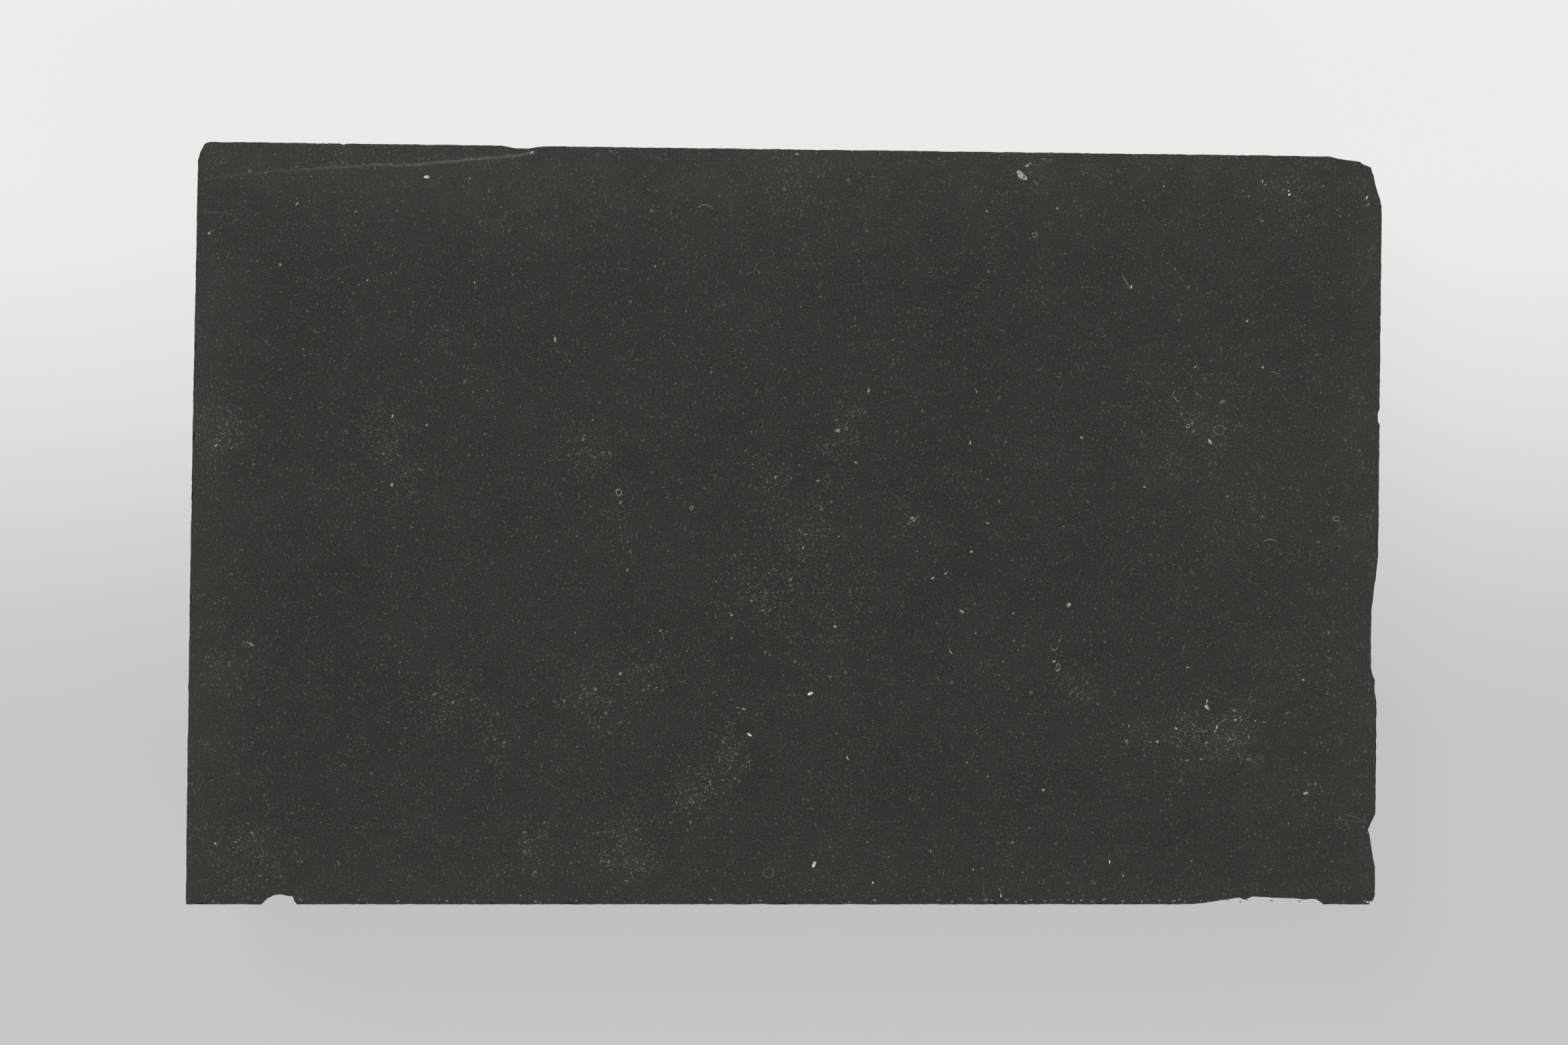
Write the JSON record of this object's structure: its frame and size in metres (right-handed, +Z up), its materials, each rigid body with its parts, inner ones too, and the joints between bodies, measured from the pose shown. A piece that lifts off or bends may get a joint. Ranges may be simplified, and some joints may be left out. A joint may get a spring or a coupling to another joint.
{
  "type": "basalt massage stone",
  "caption": "Flat hand-sized basalt slab with a honed face, sawn sides and chipped edges, warmed and laid on the body or drawn along it.",
  "frame": {"origin": "middle of the flat underside, at the height of the surface the stone lies on", "axes": "+X along the length, +Y across the width towards the back edge, +Z up out of the honed face"},
  "size_m": [0.155, 0.0988, 0.02],
  "materials": {
    "basalt": "honed, dull, dark grey with a fine pale speckle"
  },
  "bodies": {
    "root": {"basalt_slab": "basalt"}
  },
  "joints": []
}
